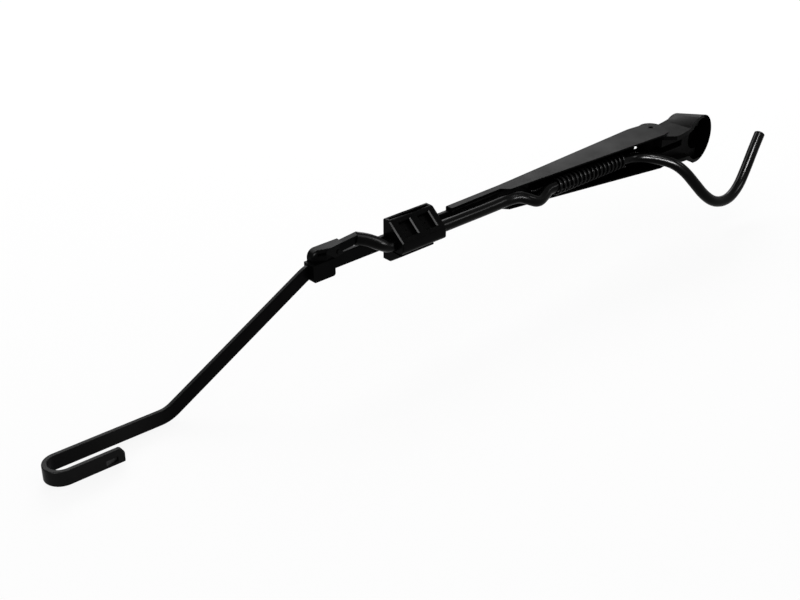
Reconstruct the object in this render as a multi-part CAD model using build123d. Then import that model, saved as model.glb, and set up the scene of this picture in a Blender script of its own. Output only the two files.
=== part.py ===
"""Wiper arm with a washer hose: cast head, pressed retainer, flat bar with a J hook,
tension spring, spray block on the bar and a small nozzle at the bar's outer bend.

Millimetres. The spindle's axis is Y through the origin and the arm runs along -X.
The glass lies on the -Y side. Shapes are drawn with the bar's middle plane at y = 0
and moved up by bar_level, so that the origin is the mouth of the spindle bore."""

import os
from math import acos, cos, radians, sin, tan

from build123d import *

os.makedirs("parts", exist_ok=True)

# Fits: flat faces that lie together, loose round fits, and the hinge's running fit
flat_gap = 0.1
round_gap = 0.03
hinge_gap = 0.05

# Flat bar: section, runs between the bends, J hook and its detent slot
bar_w = 9.0
bar_t = 3.0
bar_edge = 0.6
bend_r = 18.0
run_mid = 115.4
run_tip = 68.5
joggle_deg = 28.35
toe_deg = 1.74
hook_pitch = 16.5
hook_leg = 31.3
leg_round = 3.8
leg_heel = 1.0
detent_end = 7.5
detent_len = 7.0
detent_w = 3.0
detent_deep = 2.0
detent_off = -1.2

# Lengths along the arm, from the spindle outwards
head_len = 39.3
wall_len = 153.0
neck_len = 50.0
block_gap = 17.3
block_len = 37.2
link_gap = 36.5
nozzle_len = 23.0
bend_gap = 2.0

# Pressed retainer: sheet, half widths outside, wall depths, lobes and crimped lips
sheet = 1.2
wall_half = 13.5
shoulder_half = 7.5
neck_room = 0.9
web_gap = 7.0
wall_edge = 24.3
wall_heel = 1.0
shoulder_edge = 8.0
shoulder_run = 4.5
lip_in = 1.5
lobe_r = 8.9
lobe_run = 19.0
lobe_deg = 110.0
lobe_mid_deg = 54.0
wall_end = 1.8
corner_r = 1.0

# Hinge
pivot_drop = 8.1
pin_r = 2.5
dimple_r = 1.8
dimple_deep = 0.9
washer_r = 5.2
washer_t = 0.7
washer_play = 0.4

# Cast head: bell, hub in its well, neck with the hook's slot, and the spindle bore
mouth_drop = 26.3
mouth_deg = 7.0
mouth_r = 18.5
top_r = 13.3
top_drop = 0.6
top_round = 1.6
bell_wall = 2.4
bell_floor = 10.0
hub_r = 7.6
hub_drop = 15.0
well_r = 9.0
floor_drop = 22.0
floor_end = 2.0
bore_r = 5.1
nut_r = 9.2
nut_drop = 5.0
neck_back = 4.9
neck_front = 29.0
neck_start = 29.5
neck_end = 17.2
neck_half_end = 12.6
cheek_wall = 3.0
cheek_left = 7.0
cheek_nose = 4.8
pin_land = 3.75
flare_end = 5.0
boss_r = 8.8
hook_slot = 4.8
slot_end = 17.4
slot_roof = 14.9

# Tension spring with its hooks, and the pin in the head that it pulls on
spring_gap = 40.7
spring_len = 75.0
spring_drop = 14.2
wire_r = 0.75
turns = 17
end_turn = 0.25
hook_drop = 2.2
hook_bend = 1.9
spring_pin_x = 2.8
spring_pin_r = 2.0
anchor_gap = 12.0
anchor_in = 4.0
anchor_play = 0.15
hook_pass = 5.9
hook_pass_gap = 17.0
hook_slot_gap = 7.0

# Rivets through the retainer's web and the bar
rivet_r = 2.0
rivet_head_r = 3.2
rivet_head_t = 1.1
rivet_sink = 0.8
rivet_from_end = 11.0
rivet_pitch = 26.0

# Hoses
hose_r = 4.1
hose_bore_r = 2.5
hose_play = 0.1
spigot_r = 2.4
port_drop = 8.2
link_drop = 7.4

# Spray block: profile depths and levels, windows, chips, groove and its lower shoe
block_back = 3.0
block_top = 14.2
block_top_front = 3.2
block_nose = 16.0
block_nose_z = 3.3
block_chin = 15.9
block_chin_z = 2.6
block_foot = 14.2
block_split = 5.2
window_end = 5.9
window_post = 6.7
window_edge = 2.7
window_sill = 3.7
window_deep = 5.2
chip_t = 1.6
jet_r = 0.4
port_wall = 1.2
groove_w = 3.6
groove_deep = 2.4
groove_end = 2.0
shoe_len = 29.0
shoe_drop = 8.0
shoe_front = 13.6
shoe_lip = 1.4
shoe_toe = 3.6
shoe_step = 2.6

# End nozzle, its connector and its jet
nozzle_rise = 7.8
nozzle_back = 3.0
nozzle_peak = 8.2
nozzle_front = 5.5
nozzle_left = 2.4
nozzle_right = 3.2
nozzle_lean = 0.4
nozzle_round = 5.0
nozzle_edge = 2.4
nozzle_skirt = 6.8
jaw_t = 4.4
jaw_len = 16.5
jaw_out = 2.2
jaw_lip = 1.4
jaw_rise = 0.7
jaw_round = 1.6
elbow_w = 5.6
elbow_len = 10.6
elbow_rise = 1.6
elbow_front = 0.9
elbow_sweep = 0.5
elbow_up = 4.4
elbow_edge = 0.9
elbow_in = 3.0
spigot_len = 3.2
end_jet_w = 5.2
end_jet_h = 1.6
end_jet_deep = 2.4
end_jet_up = 5.4
end_jet_in = 2.9
slit_w = 4.6
slit_h = 0.9
slit_deep = 1.2
stud_r = 1.5
stud_out = 0.5
stud_in = 4.0
stud_up = 2.8

# Stations along the arm, worked out from the lengths above
pivot_x = -head_len
shoulder_x = pivot_x - wall_len
neck_x = shoulder_x - neck_len
block_r = neck_x - block_gap
block_l = block_r - block_len
nozzle_r = block_l - link_gap
nozzle_l = nozzle_r - nozzle_len
bend_x = nozzle_l - bend_gap
spring_r_x = pivot_x - spring_gap
spring_l_x = spring_r_x - spring_len
bar_end_x = spring_l_x - anchor_gap
anchor_x = bar_end_x - anchor_in

# Levels and half widths that follow from the bar, the sheet and the hose
slot_half = bar_t / 2 + flat_gap
slot_top = bar_w / 2 + flat_gap
web_in = slot_half
web_out = web_in + sheet
neck_edge = slot_half + sheet
neck_half = slot_top + sheet + neck_room
cheek_half = wall_half - sheet - washer_t - washer_play
spring_r = hose_r + hose_play + wire_r
bar_level = hub_drop
far = 200.0


def vec(x, y, z):
    """A point or direction."""
    return Vector(x, y, z)


def bend_radii(points):
    """Arc radii for the corners of a hose route: softer where the runs are longer."""
    radii = []
    for a, b, c in zip(points, points[1:], points[2:]):
        before = Vector(*b) - Vector(*a)
        after = Vector(*c) - Vector(*b)
        turn = acos(before.normalized().dot(after.normalized()))
        shorter = min(before.length, after.length)
        radii.append(0.45 * shorter / tan(turn / 2))
    return radii


def tube(points, radii, outer, inner):
    """A hose along straight runs joined by tangent arcs."""
    path = FilletPolyline(*points, radius=radii)
    start = Plane(path @ 0, z_dir=path % 0)
    ring = Circle(outer) - Circle(inner)
    return sweep(start * ring, path=path)


def rod_y(x, z, radius, top, bottom):
    """A round bar along Y between two levels."""
    middle = (top + bottom) / 2
    return Pos(x, middle, z) * Rot(90, 0, 0) * Cylinder(radius, top - bottom)


def rod_z(x, y, radius, half):
    """A round bar across the arm."""
    return Pos(x, y, 0) * Cylinder(radius, 2 * half)


def cross_plane(x):
    """A plane across the arm, with its own x along Y and its own y along Z."""
    return Plane(origin=(x, 0, 0), x_dir=(0, 1, 0), z_dir=(1, 0, 0))


def profile_yz(points, left, right):
    """A shape whose outline in Y and Z runs along the arm from left to right."""
    outline = make_face(Polyline(*points, close=True))
    return extrude(cross_plane(left) * outline, amount=right - left)


def side_plate(points, half):
    """A shape whose outline in X and Y runs across the arm, half to each side."""
    return extrude(make_face(Polyline(*points, close=True)), amount=half, both=True)


def plan_plate(points, high, low):
    """A shape whose outline in X and Z runs from y = high down to y = low."""
    outline = make_face(Polyline(*points, close=True))
    return extrude(Plane.XZ.offset(-high) * outline, amount=high - low)


def box(x0, x1, y0, y1, z0, z1):
    """A block between two corners."""
    centre = Pos((x0 + x1) / 2, (y0 + y1) / 2, (z0 + z1) / 2)
    return centre * Box(abs(x1 - x0), abs(y1 - y0), abs(z1 - z0))


def save(shape, node):
    """Writes one piece in the arm's frame."""
    export_step(Pos(0, bar_level, 0) * shape, "parts/" + node + ".step")


# Flat bar: straight in the retainer, two edgewise bends, then the J hook
bend_two = vec(bend_x, 0, 0)
mid_dir = vec(cos(radians(joggle_deg)), 0, sin(radians(joggle_deg)))
tip_dir = vec(cos(radians(toe_deg)), 0, -sin(radians(toe_deg)))
bend_one = bend_two - mid_dir * run_mid
hook_in = bend_one - tip_dir * run_tip
hook_r = hook_pitch / 2
hook_far = hook_in - tip_dir * hook_r - vec(0, hook_r, 0)
hook_back = hook_in - vec(0, hook_pitch, 0)
leg_end = hook_back + tip_dir * hook_leg
bar_start = vec(bar_end_x, 0, 0)
long_run = FilletPolyline(bar_start, bend_two, bend_one, hook_in, radius=bend_r)
hook_turn = ThreePointArc(hook_in, hook_far, hook_back)
hook_run = Line(hook_back, leg_end)
bar_path = Wire(long_run.edges() + hook_turn.edges() + hook_run.edges())
bar_plane = Plane(origin=bar_start, x_dir=(0, 0, 1), z_dir=(-1, 0, 0))
bar = sweep(bar_plane * RectangleRounded(bar_w, bar_t, bar_edge), path=bar_path)
bar_slot = sweep(bar_plane * Rectangle(2 * slot_top, 2 * slot_half), path=long_run)

# The leg's end is rounded at its upper corner and carries the detent, a ramp cut in its face
leg_plane = Plane(origin=hook_back, x_dir=tip_dir, z_dir=(0, -1, 0))
leg_tip = Pos(hook_leg - leg_round, 0) * Rectangle(2 * leg_round, 2 * bar_w, align=(Align.MIN, Align.CENTER))
leg_keep = Pos(hook_leg - 2 * leg_round, 0) * Rectangle(4 * leg_round, bar_w)
leg_keep = fillet(leg_keep.vertices().sort_by(Axis.X)[-2:].sort_by(Axis.Y)[-1], leg_round)
leg_keep = fillet(leg_keep.vertices().sort_by(Axis.Y)[:2].sort_by(Axis.X)[-1], leg_heel)
bar -= extrude(leg_plane * (leg_tip - leg_keep), amount=bar_t, both=True)
detent_r = hook_leg - detent_end + detent_len / 2
ramp_line = Polyline(
    (detent_r - detent_len, bar_t / 2),
    (detent_r, bar_t / 2),
    (detent_r, bar_t / 2 - detent_deep),
    close=True,
)
ramp_plane = Plane(origin=hook_back, x_dir=tip_dir, z_dir=(tip_dir.Z, 0, -tip_dir.X)).offset(-detent_off)
bar -= extrude(ramp_plane * make_face(ramp_line), amount=detent_w / 2, both=True)

# Holes for the rivets and for the spring's outer hook
rivet_xs = [neck_x + rivet_from_end, neck_x + rivet_from_end + rivet_pitch]
rivet_holes = [rod_y(x, 0, rivet_r + round_gap, far, -far) for x in rivet_xs]


def sink(x, play):
    """The cone of a rivet's sunk end, flush with the bar's front."""
    cone = Cone(rivet_r + rivet_sink + play, rivet_r + play, rivet_sink)
    return Pos(x, (rivet_sink - bar_t) / 2, 0) * Rot(-90, 0, 0) * cone


for hole in rivet_holes:
    bar -= hole
for x in rivet_xs:
    bar -= sink(x, round_gap)
bar -= rod_y(anchor_x, 0, wire_r + anchor_play, bar_t, -bar_t)
save(bar, "bar")


# Rivets: a low chamfered head behind the web, a shank, and a sunk end in the bar's front
def rivet(x):
    """One rivet through the web and the bar."""
    one = rod_y(x, 0, rivet_r, web_out, -bar_t / 2)
    one += rod_y(x, 0, rivet_head_r, web_out + rivet_head_t, web_out)
    one += sink(x, 0)
    rims = one.edges().filter_by(GeomType.CIRCLE).sort_by(Axis.Y)
    return chamfer(rims[-1], rivet_head_t / 2).solid()


save(Compound([rivet(x) for x in rivet_xs]), "bar_rivets")


# Retainer: a tapering U section, deep at the hinge, with lips crimped over the bar at its neck
def half_plan(inset):
    """The retainer's outline seen from above, taken in by inset and then open at its ends."""
    slope = (wall_half - shoulder_half) / wall_len
    tip_half = wall_half + slope * lobe_r
    reach = sheet if inset > 0 else 0.0
    upper = [
        (neck_x - reach, neck_half - inset),
        (shoulder_x, shoulder_half - inset),
        (pivot_x + lobe_r + reach, tip_half - inset),
    ]
    return upper + [(x, -z) for x, z in reversed(upper)]


shell = plan_plate(half_plan(0.0), web_out, -far / 4)
shell -= plan_plate(half_plan(sheet), web_in, -far / 2)
edge_slope = (wall_edge - shoulder_edge) / wall_len
edge_end_x = pivot_x - lobe_r / 2
edge_end = shoulder_edge + edge_slope * (edge_end_x - shoulder_x)


def lobe_point(degrees):
    """A point on the rounded end of the walls, round the hinge."""
    return (pivot_x + lobe_r * cos(radians(degrees)), -pivot_drop + lobe_r * sin(radians(degrees)))


side_line = Polyline(
    lobe_point(lobe_deg),
    (pivot_x - lobe_run, web_out),
    (neck_x, web_out),
    (neck_x, -neck_edge),
    (shoulder_x - shoulder_run, -neck_edge),
    (shoulder_x, -shoulder_edge),
    (edge_end_x, -edge_end),
    (pivot_x + wall_end, wall_heel - edge_end),
    lobe_point(0),
)
lobe_line = ThreePointArc(lobe_point(0), lobe_point(lobe_mid_deg), lobe_point(lobe_deg))
side_face = make_face(side_line.edges() + lobe_line.edges())
retainer = shell & extrude(side_face, amount=far, both=True)
lips = plan_plate(half_plan(0.0), -slot_half, -neck_edge)
lips -= plan_plate(half_plan(sheet + lip_in), 0, -far)
retainer += lips & box(neck_x, shoulder_x - shoulder_run, 0, -far, -far, far)
open_back = plan_plate(half_plan(sheet), far / 4, web_in - flat_gap)
retainer -= open_back & box(pivot_x - lobe_run, 0, -far, far, -far, far)
lobe_top_x, lobe_top_y = lobe_point(lobe_deg)
web_fall = (web_out - lobe_top_y) / (lobe_top_x - pivot_x + lobe_run)
web_end_y = web_out - web_fall * (lobe_run - web_gap)
web_slope = [
    (pivot_x - lobe_run, web_out),
    (pivot_x - web_gap, web_end_y),
    (pivot_x - web_gap, web_end_y - sheet),
    (pivot_x - lobe_run, web_in),
]
retainer += plan_plate(half_plan(0.0), far / 4, -far / 4) & side_plate(web_slope, far)
retainer -= rod_z(pivot_x, -pivot_drop, pin_r + hinge_gap, far)
for hole in rivet_holes:
    retainer -= hole
long_edges = [e for e in retainer.edges() if e.length > neck_len / 2 and abs(e.center().Z) > neck_half / 2]
back_edges = [e for e in long_edges if abs(e.center().Y - web_out) < flat_gap]
retainer = fillet(back_edges, corner_r)
save(retainer, "retainer")


# Head: bell, flared neck and pivot boss cast in one
def bell_r(y):
    """The bell's outer radius at a level."""
    return top_r + (mouth_r - top_r) * (-top_drop - y) / (mouth_drop - top_drop)


deep = -2 * mouth_drop
bell_line = Polyline((0, -top_drop), (top_r, -top_drop), (bell_r(deep), deep), (0, deep), close=True)
bell = revolve(make_face(bell_line), axis=Axis.Y)
bell = fillet(bell.edges().filter_by(GeomType.CIRCLE).sort_by(Axis.Y)[-1], top_round)


def taper(left, left_half, right, right_halves, back, front):
    """A part of the neck that widens between two stations, with its own half width at each corner."""
    half_b, half_f = right_halves
    narrow = Polyline((back, left_half), (front, left_half), (front, -left_half), (back, -left_half), close=True)
    wide = Polyline((back, half_b), (front, half_f), (front, -half_f), (back, -half_b), close=True)
    return loft([cross_plane(left) * make_face(narrow), cross_plane(right) * make_face(wide)], ruled=True)


def flare(inset, back, front):
    """The neck from the cheeks to the bell, taken in by inset."""
    half_n = cheek_half - inset
    half_e = neck_half_end - inset
    bell_halves = (bell_r(-neck_back) - inset, bell_r(-neck_front) - inset)
    first = taper(-neck_start, half_n, -neck_end, (half_e, half_e), back, front)
    return first + taper(-neck_end, half_e, -flare_end, bell_halves, back, front)


# The spring's pin lies in the hook's turn, under the level of the hook's wire
spring_pin_at = pivot_x + spring_pin_x
wire_level = -spring_drop - hook_drop
hook_turn_r = spring_pin_r + wire_r + flat_gap
spring_pin_y = wire_level - hook_turn_r
cheek_low = spring_pin_y - pin_land
neck_side = [
    (pivot_x, -pivot_drop + boss_r),
    (-neck_start, -neck_back),
    (-neck_start, -neck_front),
    (pivot_x + cheek_nose, -neck_front),
    (pivot_x - cheek_left / 2, cheek_low),
    (pivot_x - cheek_left, -pivot_drop),
]
neck = flare(0.0, -neck_back, -neck_front)
head = bell + neck + side_plate(neck_side, cheek_half)
head += rod_z(pivot_x, -pivot_drop, boss_r, cheek_half)

# Hollow of the bell, with the neck's floor wrapped round the well of the hub
cup_line = Polyline(
    (0, -bell_floor),
    (bell_r(-bell_floor) - bell_wall, -bell_floor),
    (bell_r(deep) - bell_wall, deep),
    (0, deep),
    close=True,
)
cup = revolve(make_face(cup_line), axis=Axis.Y)
floor_block = cup & box(-far, floor_end, -bell_floor, -floor_drop, -far, far)
head -= cup
head += floor_block - rod_y(0, 0, well_r, far, -far)
head += rod_y(0, 0, hub_r, -bell_floor, -hub_drop)

# The floor is set back between the rims, the mouth is cut slanting, and the hook has its slot
inner_half = cheek_half - cheek_wall
head -= flare(cheek_wall, -floor_drop, -far / 4)
head -= box(pivot_x - far / 8, -neck_start, -floor_drop, -far / 4, -inner_half, inner_half)
mouth_x = (cos(radians(mouth_deg)), sin(radians(mouth_deg)), 0)
mouth_z = (sin(radians(mouth_deg)), -cos(radians(mouth_deg)), 0)
mouth_plane = Plane(origin=(0, -mouth_drop, 0), x_dir=mouth_x, z_dir=mouth_z)
head -= extrude(mouth_plane * Rectangle(far, far), amount=far / 4)
head -= box(pivot_x - far / 8, -slot_end, -slot_roof, -far / 4, -hook_slot / 2, hook_slot / 2)

# Spindle bore with the nut's seat, and the two cross holes
head -= rod_y(0, 0, bore_r, far, -far)
head -= rod_y(0, 0, nut_r, far, -nut_drop)
head -= rod_z(pivot_x, -pivot_drop, pin_r + round_gap, far)
head -= rod_z(spring_pin_at, spring_pin_y, spring_pin_r + round_gap, far)
save(head, "head")

# Hinge pin with a dimple in each end, washers beside the boss, and the spring's pin
hinge_pin = rod_z(pivot_x, -pivot_drop, pin_r, wall_half)
dimple = Cone(dimple_r / 4, dimple_r, dimple_deep, align=(Align.CENTER, Align.CENTER, Align.MAX))
washer = Cylinder(washer_r, washer_t) - Cylinder(pin_r + hinge_gap, 2 * washer_t)
washers = []
for turn in (0, 180):
    hinge_pin -= Pos(pivot_x, -pivot_drop, 0) * Rot(turn, 0, 0) * Pos(0, 0, wall_half) * dimple
    side = Pos(pivot_x, -pivot_drop, 0) * Rot(turn, 0, 0) * Pos(0, 0, cheek_half + washer_t / 2)
    washers.append((side * washer).solid())
save(hinge_pin, "hinge_pin")
save(Compound(washers), "hinge_washers")
save(rod_z(spring_pin_at, spring_pin_y, spring_pin_r, cheek_half), "spring_pin")

# Tension spring: left-hand coil, an outer hook into the bar and an inner hook round the pin
coil_turns = turns + end_turn
coil_edge = Helix(spring_len / coil_turns, spring_len, spring_r, direction=(1, 0, 0), lefthand=True)
coil_line = Pos(spring_l_x, -spring_drop, 0) * Rot(-90, 0, 0) * coil_edge
wire_face = Plane(coil_line @ 0, z_dir=coil_line % 0) * Circle(wire_r)
coil = sweep(wire_face, path=coil_line, is_frenet=True)


def wire(points):
    """A bent length of the spring's wire."""
    path = FilletPolyline(*points, radius=hook_bend)
    return sweep(Plane(path @ 0, z_dir=path % 0) * Circle(wire_r), path=path)


outer_start = coil_line @ 0
outer_hook = wire(
    [
        outer_start,
        vec(anchor_x, outer_start.Y, outer_start.Z),
        vec(anchor_x, bar_t / 2, outer_start.Z),
    ]
)
inner_start = coil_line @ 1
inner_turn = inner_start - vec(0, hook_drop, 0)
inner_far = spring_pin_at + hook_turn_r
inner_low = wire_level - 2 * hook_turn_r
inner_hook = wire(
    [
        inner_start,
        inner_turn,
        vec(pivot_x - hook_pass_gap, wire_level, -hook_pass),
        vec(pivot_x - hook_slot_gap, wire_level, 0),
        vec(inner_far, wire_level, 0),
        vec(inner_far, inner_low, 0),
        vec(spring_pin_at - spring_pin_r, inner_low, 0),
    ]
)
spring = coil
for point in (outer_start, inner_start):
    spring += Pos(*point) * Sphere(wire_r + round_gap)
spring += outer_hook
spring += inner_hook
save(spring, "spring")

# Spray block: a prism over the bar with two windows, a top groove and a hose port at each end
body_outline = [
    (block_back, block_top),
    (-block_top_front, block_top),
    (-block_nose, block_nose_z),
    (-block_chin, -block_chin_z),
    (-block_foot, -block_split),
    (block_back, -block_split),
]
block = profile_yz(body_outline, block_l, block_r)
block -= bar_slot
block -= box(block_l, block_r, -slot_half, slot_half, 0, -far)
groove_mid = (block_back - block_top_front) / 2
groove_a = groove_mid - groove_w / 2
groove_b = groove_mid + groove_w / 2
block -= box(block_l + groove_end, block_r - groove_end, groove_a, groove_b, block_top - groove_deep, far)

# Windows in the slanted face, each with a jet chip on its floor
slant_run = block_nose - block_top_front
slant_drop = block_top - block_nose_z
slant_len = (slant_run**2 + slant_drop**2) ** 0.5
slant_down = vec(0, -slant_run / slant_len, -slant_drop / slant_len)
slant_out = (0, -slant_drop / slant_len, slant_run / slant_len)
window_w = (block_len - 2 * window_end - window_post) / 2
window_h = slant_len - window_edge - window_sill
window_mid = vec(0, -block_top_front, block_top) + slant_down * (window_edge + window_h / 2)
chips = []
for window_x in (block_l + window_end + window_w / 2, block_r - window_end - window_w / 2):
    face = Plane(origin=vec(window_x, 0, 0) + window_mid, x_dir=(1, 0, 0), z_dir=slant_out)
    block -= extrude(face * Rectangle(window_w, window_h), amount=-window_deep)
    floor = face.offset(-window_deep)
    chip = extrude(floor * Rectangle(window_w - 2 * flat_gap, window_h - 2 * flat_gap), amount=chip_t)
    chips.append((chip - extrude(floor * Circle(jet_r), amount=chip_t)).solid())
save(Compound(chips), "jet_chips")

# Ring pockets that the hose ends sit in, each round a spigot
port_deep = window_end - port_wall


def port(x0, x1, drop):
    """The ring pocket of one hose end, between two stations."""
    span = Rot(0, 90, 0) * Cylinder(hose_r + hose_play, x1 - x0)
    span -= Rot(0, 90, 0) * Cylinder(spigot_r, x1 - x0)
    return Pos((x0 + x1) / 2, -drop, 0) * span


block -= port(block_r - port_deep, block_r, port_drop)
block -= port(block_l, block_l + port_deep, link_drop)
save(block, "spray_block")

# Shoe that closes the block under the bar
shoe_bottom = block_split + shoe_drop
shoe_r = block_l + shoe_len
shoe_outline = [
    (block_back, -block_split),
    (block_back, -shoe_bottom),
    (-shoe_toe, -shoe_bottom),
    (-shoe_front, -block_split - shoe_lip),
    (shoe_step - shoe_front, -block_split),
]
shoe = profile_yz(shoe_outline, block_l, shoe_r)
shoe += box(block_l, shoe_r, -slot_half, slot_half, -block_split - shoe_lip, -slot_top)
save(shoe, "block_shoe")

# Main hose: from the spray block along the neck, out round the bar's end, through the
# spring and out of the retainer to its free end
axis = -spring_drop
hose_route = [
    (block_r - port_deep, -port_drop, 0),
    (block_r + 24, -port_drop, 0),
    (neck_x + 34, -port_drop + 0.2, -0.1),
    (shoulder_x - 3, -port_drop - 0.3, -0.6),
    (shoulder_x + 7, axis + 2.6, -2.4),
    (spring_l_x - 21, axis - 2.6, -3.6),
    (spring_l_x - 12, axis - 1.6, -1.4),
    (spring_l_x - 6, axis, 0),
    (spring_l_x + 9, axis - 0.03, 0),
    (spring_l_x + 34, axis - 0.06, 0),
    (spring_r_x - 21, axis - 0.05, 0),
    (spring_r_x - 4, axis - 0.02, 0),
    (spring_r_x + 8, axis, 0),
    (pivot_x - 20.5, -18.6, -0.5),
    (pivot_x - 13.2, -26.6, -2.4),
    (pivot_x - 6.0, -35.0, -5.2),
    (pivot_x + 1.0, -41.3, -11.8),
    (pivot_x + 9.5, -46.2, -22.9),
    (pivot_x + 19.0, -49.8, -34.1),
    (pivot_x + 31.3, -52.3, -42.4),
    (pivot_x + 47.5, -53.0, -44.5),
    (pivot_x + 62.9, -51.0, -39.3),
    (pivot_x + 75.4, -48.0, -28.9),
    (pivot_x + 86.2, -45.4, -17.1),
    (pivot_x + 98.0, -42.5, -6.2),
]
hose_radii = bend_radii(hose_route)
print("hose radii", [round(radius, 1) for radius in hose_radii])
save(tube(hose_route, hose_radii, hose_r, hose_bore_r), "hose")

# End nozzle: a saddle over the bar, a skirt behind it and a jaw round its lower edge
nozzle_top = slot_top + nozzle_rise
nozzle_plan = [
    (nozzle_l, nozzle_back),
    (nozzle_r, nozzle_back),
    (nozzle_r - nozzle_lean, -nozzle_right),
    (nozzle_l + nozzle_peak, -nozzle_front),
    (nozzle_l, -nozzle_left),
]
nozzle = extrude(Plane.XY.offset(slot_top) * make_face(Polyline(*nozzle_plan, close=True)), amount=nozzle_rise)
crown = nozzle.edges().filter_by(Axis.Y).group_by(Axis.Z)[-1].sort_by(Axis.X)[0]
nozzle = fillet(crown, nozzle_round)
flank = nozzle.edges().filter_by(Axis.Z).sort_by(Axis.X)[:2].sort_by(Axis.Y)[0]
nozzle = fillet(flank, nozzle_edge)
jaw_l = nozzle_l - jaw_out
jaw_r = jaw_l + jaw_len
jaw_front = -slot_half - jaw_t
jaw_low = -slot_top - jaw_lip
jaw = box(jaw_l, jaw_r, jaw_front, nozzle_back, jaw_low, slot_top + jaw_rise)
jaw = fillet(jaw.edges().filter_by(Axis.Y).sort_by(Axis.Z)[:2], jaw_round)
nozzle += jaw
nozzle += box(nozzle_l, nozzle_r, slot_half, nozzle_back, slot_top - nozzle_skirt, slot_top)
nozzle -= bar_slot

# Low stud on the nozzle's right face
right_corner = vec(nozzle_r - nozzle_lean, -nozzle_right, slot_top)
peak_corner = vec(nozzle_l + nozzle_peak, -nozzle_front, slot_top)
left_corner = vec(nozzle_l, -nozzle_left, slot_top)
right_way = (peak_corner - right_corner).normalized()
stud_at = right_corner + right_way * stud_in + vec(0, 0, stud_up)
stud_plane = Plane(origin=stud_at, x_dir=right_way, z_dir=(-right_way.Y, right_way.X, 0))
nozzle += extrude(stud_plane * Circle(stud_r), amount=stud_out, both=True)

# Jet insert with a slit, in the nozzle's slanted left face near its peak
left_way = (left_corner - peak_corner).normalized()
jet_mid = peak_corner + left_way * end_jet_in + vec(0, 0, end_jet_up)
jet_plane = Plane(origin=jet_mid, x_dir=-left_way, z_dir=(-left_way.Y, left_way.X, 0))
nozzle -= extrude(jet_plane * Rectangle(end_jet_w, end_jet_h), amount=-end_jet_deep)
jet_floor = jet_plane.offset(-end_jet_deep)
jet_size = Rectangle(end_jet_w - 2 * flat_gap, end_jet_h - 2 * flat_gap)
end_jet = extrude(jet_floor * jet_size, amount=end_jet_deep - slit_deep / 2)
end_jet -= extrude(jet_plane * Rectangle(slit_w, slit_h), amount=-2 * slit_deep)
save(end_jet, "end_jet")

# Connector between the nozzle and the link hose, cut square to the hose that it meets
elbow_a = vec(nozzle_r - elbow_in, -elbow_front, slot_top + elbow_up)
elbow_b = vec(nozzle_r + elbow_len, -elbow_front - elbow_sweep, slot_top + elbow_up + elbow_rise)
link_route = [
    elbow_b,
    vec(elbow_b.X + 7.0, elbow_b.Y - 3.0, elbow_b.Z - 2.2),
    vec(elbow_b.X + 14.0, -link_drop, elbow_b.Z - 6.2),
    vec(block_l - 4.0, -link_drop, 0),
    vec(block_l + port_deep, -link_drop, 0),
]
link_radii = bend_radii(link_route)
print("link hose radii", [round(radius, 1) for radius in link_radii])
save(tube(link_route, link_radii, hose_r, hose_bore_r), "link_hose")
elbow_way = (elbow_b - elbow_a).normalized()
elbow_plane = Plane(origin=elbow_a, x_dir=(0, 1, 0), z_dir=elbow_way)
link_way = (link_route[1] - link_route[0]).normalized()
link_plane = Plane(origin=elbow_b, z_dir=link_way)
elbow_run = (elbow_b - elbow_a).length + elbow_w
elbow = extrude(elbow_plane * RectangleRounded(elbow_w, elbow_w, elbow_edge), amount=elbow_run)
elbow -= extrude(link_plane * Circle(far), amount=far)
elbow += extrude(link_plane * Circle(spigot_r), amount=spigot_len)
socket_w = elbow_w + 2 * flat_gap
nozzle -= extrude(elbow_plane * RectangleRounded(socket_w, socket_w, elbow_edge), amount=elbow_run)
save(nozzle, "end_nozzle")
save(elbow, "end_connector")
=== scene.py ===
"""Wiper arm with a washer hose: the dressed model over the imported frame.

Sizes are written in millimetres and made into metres where a mesh is built. The frame is
the part's own: the spindle's axis is Y through the origin, the arm runs along -X and the
glass lies on the -Y side. The arm lies on its side, so Z is up.
"""

import logging
import math
from collections.abc import Callable
from dataclasses import dataclass
from enum import Enum

import bmesh
import bpy
from mathutils import Matrix, Quaternion, Vector


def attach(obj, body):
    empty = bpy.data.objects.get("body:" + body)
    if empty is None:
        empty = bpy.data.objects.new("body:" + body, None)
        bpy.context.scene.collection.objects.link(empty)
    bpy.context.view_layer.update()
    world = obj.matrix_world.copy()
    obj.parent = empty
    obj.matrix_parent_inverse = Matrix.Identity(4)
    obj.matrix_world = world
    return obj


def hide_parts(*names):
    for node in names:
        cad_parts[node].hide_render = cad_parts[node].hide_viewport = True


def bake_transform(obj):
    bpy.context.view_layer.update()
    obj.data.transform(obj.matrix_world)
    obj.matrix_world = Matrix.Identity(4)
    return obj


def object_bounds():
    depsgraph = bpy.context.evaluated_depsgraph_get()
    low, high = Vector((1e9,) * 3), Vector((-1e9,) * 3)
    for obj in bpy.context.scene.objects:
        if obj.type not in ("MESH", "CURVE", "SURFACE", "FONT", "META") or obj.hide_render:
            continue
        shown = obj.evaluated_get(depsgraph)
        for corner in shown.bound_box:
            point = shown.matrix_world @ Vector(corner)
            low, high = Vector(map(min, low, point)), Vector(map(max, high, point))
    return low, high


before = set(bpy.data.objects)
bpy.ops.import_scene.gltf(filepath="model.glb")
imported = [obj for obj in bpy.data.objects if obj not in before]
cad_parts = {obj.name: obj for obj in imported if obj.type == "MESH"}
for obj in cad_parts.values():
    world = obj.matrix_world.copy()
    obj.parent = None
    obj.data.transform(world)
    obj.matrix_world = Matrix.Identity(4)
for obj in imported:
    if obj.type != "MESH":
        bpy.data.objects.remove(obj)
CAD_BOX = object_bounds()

LOG = logging.getLogger("wiper_arm")
MM = 0.001
MERGE_WITHIN = 0.002
CUT_WITHIN = 0.001
FLAT_WITHIN = 0.5

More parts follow.
